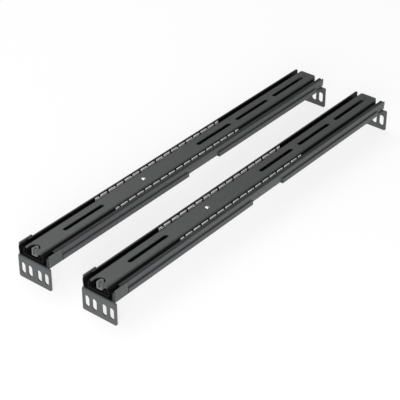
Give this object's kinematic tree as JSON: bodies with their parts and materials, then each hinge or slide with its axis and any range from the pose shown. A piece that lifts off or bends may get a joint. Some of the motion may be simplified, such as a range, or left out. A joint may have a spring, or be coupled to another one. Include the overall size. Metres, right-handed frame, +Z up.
{
  "type": "sliding server rail pair",
  "caption": "Pair of ball-bearing telescopic rack slides with slotted inner members, each on a front and a telescoping rear bracket with slotted flanges.",
  "frame": {"origin": "middle of the pair, on the surface that the bracket flanges stand on", "axes": "+X from the front flanges to the rear flanges, +Y from the right rail to the left rail, +Z up from the standing surface to the inner members' webs"},
  "size_m": [0.47, 0.1304, 0.0408],
  "materials": {
    "black_member": "satin black coated steel",
    "black_inner_sheet": "satin black coated steel",
    "black_bracket": "satin black powder coat",
    "zinc_steel": "bright zinc plate",
    "zinc_cage": "zinc-plated pressed steel",
    "ball_steel": "polished bearing steel",
    "latch_plastic": "dark grey moulded plastic",
    "black_rubber": "black rubber"
  },
  "bodies": {
    "frame": {"left_outer_member": "black_member", "left_front_bracket": "black_bracket", "left_clamp_screws": "zinc_steel", "left_outer_bumper": "black_rubber", "right_outer_member": "black_member", "right_front_bracket": "black_bracket", "right_clamp_screws": "zinc_steel", "right_outer_bumper": "black_rubber"},
    "left_rear_bracket_body": {"left_rear_bracket": "black_bracket"},
    "left_outer_cage_body": {"left_outer_cage": "zinc_cage", "left_outer_cage_balls": "ball_steel"},
    "left_intermediate_body": {"left_intermediate_member": "black_inner_sheet", "left_intermediate_bumper": "black_rubber"},
    "left_inner_cage_body": {"left_inner_cage": "zinc_cage", "left_inner_cage_balls": "ball_steel"},
    "left_inner_body": {"left_inner_member": "black_member", "left_latch_pivot": "zinc_steel", "left_member_rivet": "zinc_steel"},
    "left_latch_body": {"left_latch_lever": "latch_plastic"},
    "right_rear_bracket_body": {"right_rear_bracket": "black_bracket"},
    "right_outer_cage_body": {"right_outer_cage": "zinc_cage", "right_outer_cage_balls": "ball_steel"},
    "right_intermediate_body": {"right_intermediate_member": "black_inner_sheet", "right_intermediate_bumper": "black_rubber"},
    "right_inner_cage_body": {"right_inner_cage": "zinc_cage", "right_inner_cage_balls": "ball_steel"},
    "right_inner_body": {"right_inner_member": "black_member", "right_latch_pivot": "zinc_steel", "right_member_rivet": "zinc_steel"},
    "right_latch_body": {"right_latch_lever": "latch_plastic"}
  },
  "joints": [
    {"name": "left_intermediate_slide", "type": "slide", "parent": "frame", "child": "left_intermediate_body", "axis": [-1, 0, 0], "range_m": [0, 0.2]},
    {"name": "left_outer_cage_slide", "type": "slide", "parent": "frame", "child": "left_outer_cage_body", "axis": [-1, 0, 0], "range_m": [0, 0.1]},
    {"name": "left_inner_slide", "type": "slide", "parent": "left_intermediate_body", "child": "left_inner_body", "axis": [-1, 0, 0], "range_m": [0, 0.2]},
    {"name": "left_inner_cage_slide", "type": "slide", "parent": "left_intermediate_body", "child": "left_inner_cage_body", "axis": [-1, 0, 0], "range_m": [0, 0.1]},
    {"name": "left_rear_bracket_slide", "type": "slide", "parent": "frame", "child": "left_rear_bracket_body", "axis": [1, 0, 0], "range_m": [0, 0.11]},
    {"name": "left_latch_hinge", "type": "hinge", "parent": "left_inner_body", "child": "left_latch_body", "pos_m": [-0.209, 0.0441, 0.0377], "axis": [0, 0, 1], "range_deg": [-7, 0], "stiffness_Nm_per_rad": 0.05, "springref_deg": 2.86},
    {"name": "right_intermediate_slide", "type": "slide", "parent": "frame", "child": "right_intermediate_body", "axis": [-1, 0, 0], "range_m": [0, 0.2]},
    {"name": "right_outer_cage_slide", "type": "slide", "parent": "frame", "child": "right_outer_cage_body", "axis": [-1, 0, 0], "range_m": [0, 0.1]},
    {"name": "right_inner_slide", "type": "slide", "parent": "right_intermediate_body", "child": "right_inner_body", "axis": [-1, 0, 0], "range_m": [0, 0.2]},
    {"name": "right_inner_cage_slide", "type": "slide", "parent": "right_intermediate_body", "child": "right_inner_cage_body", "axis": [-1, 0, 0], "range_m": [0, 0.1]},
    {"name": "right_rear_bracket_slide", "type": "slide", "parent": "frame", "child": "right_rear_bracket_body", "axis": [1, 0, 0], "range_m": [0, 0.11]},
    {"name": "right_latch_hinge", "type": "hinge", "parent": "right_inner_body", "child": "right_latch_body", "pos_m": [-0.209, -0.0419, 0.0377], "axis": [0, 0, 1], "range_deg": [-7, 0], "stiffness_Nm_per_rad": 0.05, "springref_deg": 2.86}
  ],
  "couplings": [
    {"joint": "left_outer_cage_slide", "follows": "left_intermediate_slide", "ratio": 0.5},
    {"joint": "left_inner_cage_slide", "follows": "left_inner_slide", "ratio": 0.5},
    {"joint": "right_outer_cage_slide", "follows": "right_intermediate_slide", "ratio": 0.5},
    {"joint": "right_inner_cage_slide", "follows": "right_inner_slide", "ratio": 0.5}
  ]
}
